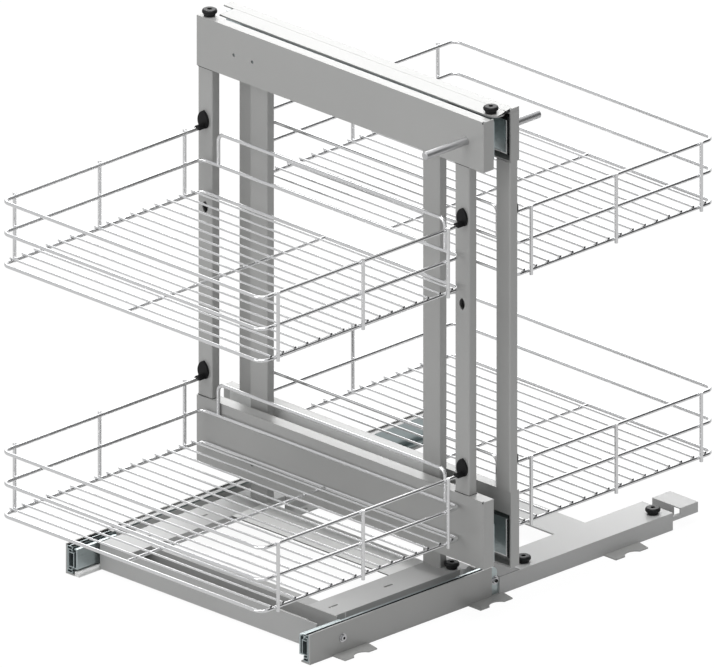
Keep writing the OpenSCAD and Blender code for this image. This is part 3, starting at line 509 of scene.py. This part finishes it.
# Black in the gap between the slide ends and the caps: painted shade.
extrusion(
    "slide_end_shade_top",
    [(SHADE_FRONT, TOP_LOW), (SHADE_FRONT, TOP_SHADE_HIGH), (STOP_BACK, TOP_SHADE_HIGH),
     (STOP_BACK, TOP_HIGH + STOP_GAP), (STOP_FRONT + STOP_GAP, TOP_HIGH + STOP_GAP),
     (STOP_FRONT + STOP_GAP, TOP_LOW)],
    "y", STOP_Y - STOP_THICK, STOP_Y, GAP_SHADE, "carriage", 0)
extrusion("slide_end_shade_low", bar(STOP_FRONT + STOP_GAP, SHADE_FRONT, LOW_LOW, LOW_HIGH),
          "y", STOP_Y - STOP_THICK, STOP_Y, GAP_SHADE, "carriage", 0)
# Black plates inside the caps, next to the slides: painted shade of the gap.
CAP_SHADE_LEFT, CAP_SHADE_RIGHT, CAP_SHADE_BACK, CAP_SHADE_FRONT = 0.0096, 0.0212, 0.2403, 0.2428
for name, low, high in (("cap_gap_shade_top", 0.5920, 0.6455), ("cap_gap_shade_low", 0.0705, 0.1225)):
    extrusion(name, bar(CAP_SHADE_LEFT, CAP_SHADE_RIGHT, low, high),
              "x", CAP_SHADE_BACK, CAP_SHADE_FRONT, GAP_SHADE, "right_frame", 0)

# Basket frames: beams folded from grey painted sheet, with box uprights between them. The uprights
# are tube, so only the beams get rounded folds.
BEAM_FOLD = 0.0005
dress(GREY_PAINT, [f"{side}_{part}" for side in ("left", "right")
                   for part in ("top_beam", "low_beam")], BEAM_FOLD)
dress(GREY_PAINT, [f"{side}_{part}" for side in ("left", "right")
                   for part in ("upright_front", "upright_back")])

# Right top cap: grey painted sheet that stands a little above the beam's end. The top sheets of
# the beam and of the centre plate are cut back at a slant there, which leaves a dark wedge; thin
# black patches on both sheets are painted shade for it.
CAP_BACK, CAP_FRONT, CAP_LEFT, CAP_RIGHT = 0.2430, 0.2445, 0.0092, 0.0234
CAP_LOW, CAP_TOP = 0.6475, 0.6528
CUT_LOW, CUT_TOP = 0.6479, 0.64806
PLATE_CUT = ((0.2420, -0.0119), (0.24205, 0.0087), (0.2365, 0.0087))
BEAM_CUT_BACK, BEAM_CUT_END, BEAM_CUT_RIGHT = 0.2364, 0.2334, 0.0203
extrusion("cap_upstand_right", bar(CAP_BACK, CAP_FRONT, CAP_LOW, CAP_TOP),
          "y", CAP_LEFT, CAP_RIGHT, GREY_PAINT, "right_frame", 0.0003)
extrusion("slant_cut_shade_plate", PLATE_CUT, "z", CUT_LOW, CUT_TOP, GAP_SHADE, "carriage", 0)
extrusion(
    "slant_cut_shade_beam",
    [(BEAM_CUT_BACK, CAP_LEFT), (CAP_BACK, CAP_LEFT), (CAP_BACK, BEAM_CUT_RIGHT),
     (BEAM_CUT_END, BEAM_CUT_RIGHT)],
    "z", CUT_LOW, CUT_TOP, GAP_SHADE, "right_frame", 0)

# Beam web light: a thin white sheet on the inner face of the right low beam, over its slide, that
# runs most of the beam's length. Its white is painted light that lifts the shade on the web. How
# the real one is fixed can't be seen.
BEAM_LIGHT_BACK, BEAM_LIGHT_FRONT = -0.2340, 0.1300
BEAM_LIGHT_LEFT, BEAM_LIGHT_RIGHT, BEAM_LIGHT_LOW, BEAM_LIGHT_TOP = 0.0089, 0.0094, 0.1225, 0.1562
extrusion(
    "beam_web_light_right",
    bar(BEAM_LIGHT_LEFT, BEAM_LIGHT_RIGHT, BEAM_LIGHT_LOW, BEAM_LIGHT_TOP),
    "x", BEAM_LIGHT_BACK, BEAM_LIGHT_FRONT, PAINTED_LIGHT_WHITE, "right_frame", 0.0001)

# Seams: the dark line where a left upright meets the beam over it and the beam under it. Thin black
# plates in the narrow open joints between the tube and the folded sheet are painted shade.
SEAM_HALF, SEAM_LEFT, SEAM_RIGHT = 0.01235, -0.03475, -0.0213
for name, middle in (("front", 0.20555), ("back", -0.23225)):
    for row, low, high in (("high", 0.5812, 0.5832), ("low", 0.1564, 0.1571)):
        extrusion(f"seam_shade_left_{name}_{row}",
                  bar(middle - SEAM_HALF, middle + SEAM_HALF, SEAM_LEFT, SEAM_RIGHT),
                  "z", low, high, GAP_SHADE, "left_frame", 0)

# Relief holes: small round holes punched at the corners of the left end caps, so that the sheet
# folds there without tearing. Each is a black disc of painted shade, one half on the face and the
# other on the top.
RELIEF_R, RELIEF_X, RELIEF_Y, RELIEF_DOWN = 0.0012, 0.2430, -0.0354, 0.0015
RELIEF_FACE_OUT, RELIEF_FACE_IN, RELIEF_SUNK, RELIEF_PROUD = -0.03666, -0.0362, 0.0003, 0.00006
for name, high in (("top", 0.6480), ("low", 0.1565)):
    extrusion(f"relief_face_{name}", round_outline(RELIEF_X, high - RELIEF_DOWN, RELIEF_R, 12),
              "y", RELIEF_FACE_OUT, RELIEF_FACE_IN, GAP_SHADE, "left_frame", 0)
    extrusion(f"relief_over_{name}", round_outline(RELIEF_X, RELIEF_Y, RELIEF_R, 12),
              "z", high - RELIEF_SUNK, high + RELIEF_PROUD, GAP_SHADE, "left_frame", 0)

# Door pins: bright turned steel like the screws, but ground rather than polished. They stand out
# from the top beams and carry the door fittings.
GROUND_STEEL = finish_material(
    "ground_steel", (0.52, 0.52, 0.525), (0.62, 0.62, 0.625), 1.0, 0.40, bump=0.004)
dress(GROUND_STEEL, ["left_pin", "right_pin"])

# Baskets: rims, posts, guard wire and floor wires of drawn steel, welded together and then plated
# bright.
WIRE_PLATING = finish_material(
    "wire_plating", (0.72, 0.72, 0.725), (0.79, 0.79, 0.795), 1.0, 0.16, rough_spread=0.03,
    bump=0.004)
dress(WIRE_PLATING, [f"{side}_{part}" for side in ("left", "right")
                     for part in ("upper_basket", "lower_basket", "basket_floors")])

# Wire ends: the floor wires are welded to the bottom rim and cut off; their front ends are drawn
# dark, as small flat beads over the rim.
WIRE_END_DARK = finish_material(
    "wire_end_dark", (0.035, 0.035, 0.036), (0.06, 0.06, 0.062), 0.4, 0.5, bump=0.01)
WELD_R, WELD_PITCH, WELD_COUNT, WELD_SIDES = 0.0015, 0.02043, 16, 10
WELD_BEHIND, WELD_BEYOND = 0.0006, 0.0005
WELD_BACK_SHARE, WELD_TIP_SHARE = 0.9, 0.75
for name, end, first, heights in (("left", 0.20895, -0.3606, (0.10375, 0.42775)),
                                  ("right", 0.23565, 0.0409, (0.10945, 0.43325))):
    shape = bmesh.new()
    for z in heights:
        for i in range(WELD_COUNT):
            y = first + i * WELD_PITCH
            rings = []
            for x, r in ((end - WELD_BEHIND, WELD_R * WELD_BACK_SHARE), (end, WELD_R),
                         (end + WELD_BEYOND, WELD_R * WELD_TIP_SHARE)):
                outline = round_outline(y, z, r, WELD_SIDES)
                rings.append([shape.verts.new((x, a, b)) for a, b in outline])
            for low, high in zip(rings, rings[1:]):
                for j in range(WELD_SIDES):
                    shape.faces.new((low[j - 1], low[j], high[j], high[j - 1]))
            shape.faces.new(rings[-1])
            shape.faces.new(rings[0][::-1])
    bmesh.ops.recalc_face_normals(shape, faces=shape.faces)
    mesh = bpy.data.meshes.new(f"weld_ends_{name}")
    shape.to_mesh(mesh)
    shape.free()
    mesh.materials.append(WIRE_END_DARK)
    beads = bpy.data.objects.new(f"weld_ends_{name}", mesh)
    scene.collection.objects.link(beads)
    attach(beads, f"{name}_frame")

# Clips: black moulded plastic hooks on the uprights of the basket frames. They hold the ends of
# the baskets' rims.
BLACK_CLIP = finish_material(
    "black_clip", (0.006, 0.006, 0.0065), (0.010, 0.010, 0.0105), 0.0, 0.45, bump=0.01,
    shine=0.18)
dress(BLACK_CLIP, ["left_clips", "right_clips"])
